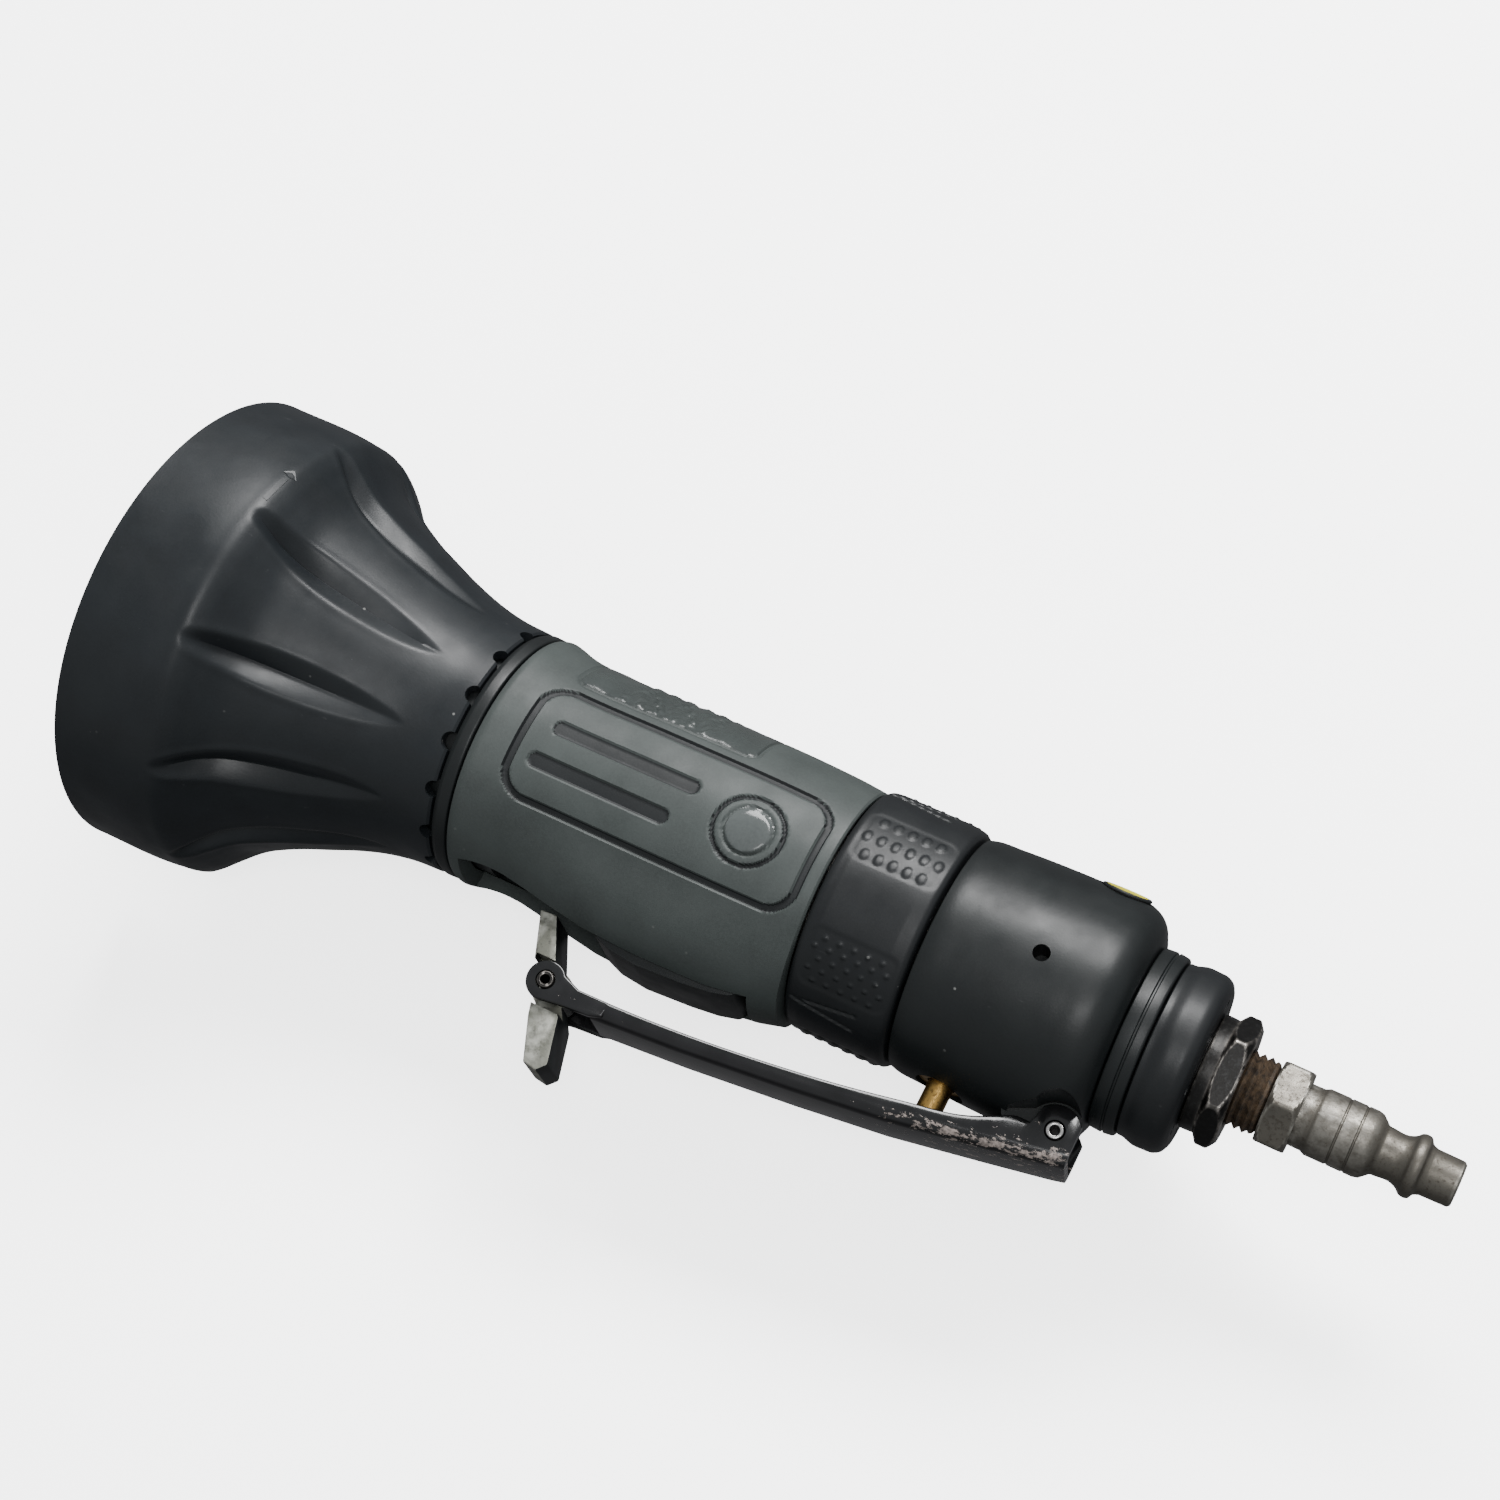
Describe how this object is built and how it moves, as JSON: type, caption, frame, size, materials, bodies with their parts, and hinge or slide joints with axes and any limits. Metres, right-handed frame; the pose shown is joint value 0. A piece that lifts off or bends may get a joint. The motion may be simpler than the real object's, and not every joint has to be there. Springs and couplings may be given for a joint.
{
  "type": "in-line reversible air cut-off tool",
  "caption": "Hand-held compressed-air cut-off tool with bell wheel guard, soft grip, reversing ring, throttle lever with lock-off, and a coupler plug.",
  "frame": {"origin": "on the tool's axis at the front face of the spindle, where a wheel is clamped", "axes": "+X along the axis towards the air inlet, throttle lever on the -Y side, +Z towards the nameplate side: the tool lies on its side"},
  "size_m": [0.2492, 0.0945, 0.0746],
  "materials": {
    "guard_shell": "satin moulded black composite, scuffed on the rim",
    "black_body": "satin black moulded housing",
    "soft_grip": "grey-green soft-touch overmould",
    "ring_rubber": "black textured rubberised finish",
    "lever_enamel": "gloss black enamel on pressed steel, chipped at the edges",
    "olive_cast": "olive grey sintered metal, speckled",
    "bright_steel": "ground bright steel",
    "dark_steel": "blackened steel, worn bright on the edges",
    "iron": "bored cast iron",
    "brass": "turned brass",
    "zinc": "dull zinc plate, rust on the thread",
    "vane_resin": "brown fibre-reinforced resin",
    "yellow_label": "yellow disc with a dark border",
    "felt": "pressed felt"
  },
  "bodies": {
    "root": {"guard_snap_ring": "bright_steel", "neck_ring": "black_body", "detent_ball": "brass", "nose_housing": "dark_steel", "front_bearing": "bright_steel", "motor_housing": "black_body", "grip_sleeve": "soft_grip", "front_end_plate": "bright_steel", "cylinder": "iron", "rear_end_plate": "bright_steel", "rear_bearing": "bright_steel", "backhead": "dark_steel", "rear_housing": "black_body", "label_disc": "yellow_label", "valve_bush": "brass", "valve_spring": "bright_steel", "lever_pin": "bright_steel", "exhaust_collar": "black_body", "muffler_ring": "felt", "o_ring": "ring_rubber", "inlet_bushing": "dark_steel", "inlet_screen": "brass", "air_plug": "zinc"},
    "guard": {"guard": "guard_shell"},
    "spindle": {"spindle": "bright_steel", "rotor": "bright_steel", "inner_flange": "bright_steel", "outer_flange": "bright_steel", "wheel_nut": "dark_steel", "vane_1": "vane_resin", "vane_2": "vane_resin", "vane_3": "vane_resin", "vane_4": "vane_resin", "vane_5": "vane_resin"},
    "reverse_ring": {"reverse_ring": "ring_rubber", "reverse_valve": "brass"},
    "exhaust_deflector": {"exhaust_deflector": "ring_rubber"},
    "lever": {"throttle_lever": "lever_enamel", "lock_pin": "bright_steel", "lock_spring": "bright_steel"},
    "lock_off": {"lock_off": "olive_cast"},
    "valve_stem": {"valve_stem": "brass", "throttle_valve": "brass"}
  },
  "joints": [
    {"name": "guard_turn", "type": "hinge", "parent": "root", "child": "guard", "pos_m": [0.056, 0, 0], "axis": [1, 0, 0], "continuous": true},
    {"name": "spindle_spin", "type": "hinge", "parent": "root", "child": "spindle", "pos_m": [0.048, 0, 0], "axis": [1, 0, 0], "continuous": true},
    {"name": "ring_turn", "type": "hinge", "parent": "root", "child": "reverse_ring", "pos_m": [0.14, 0, 0], "axis": [-1, 0, 0], "range_deg": [0, 52]},
    {"name": "exhaust_turn", "type": "hinge", "parent": "root", "child": "exhaust_deflector", "pos_m": [0.194, 0, 0], "axis": [1, 0, 0], "continuous": true},
    {"name": "lever_press", "type": "hinge", "parent": "root", "child": "lever", "pos_m": [0.1814, -0.0217, 0], "axis": [0, 0, -1], "range_deg": [0, 4.5], "stiffness_Nm_per_rad": 8, "springref_deg": -5.73},
    {"name": "lock_swing", "type": "hinge", "parent": "lever", "child": "lock_off", "pos_m": [0.0913, -0.0355, 0], "axis": [0, 0, 1], "range_deg": [0, 34.6]},
    {"name": "valve_lift", "type": "slide", "parent": "root", "child": "valve_stem", "axis": [0, 1, 0], "range_m": [0, 0.0017], "deforming": ["valve_spring"]}
  ],
  "couplings": [
    {"joint": "lock_swing", "follows": "lever_press", "ratio": 7.6667},
    {"joint": "valve_lift", "follows": "lever_press", "m_per_rad": 0.0204}
  ]
}
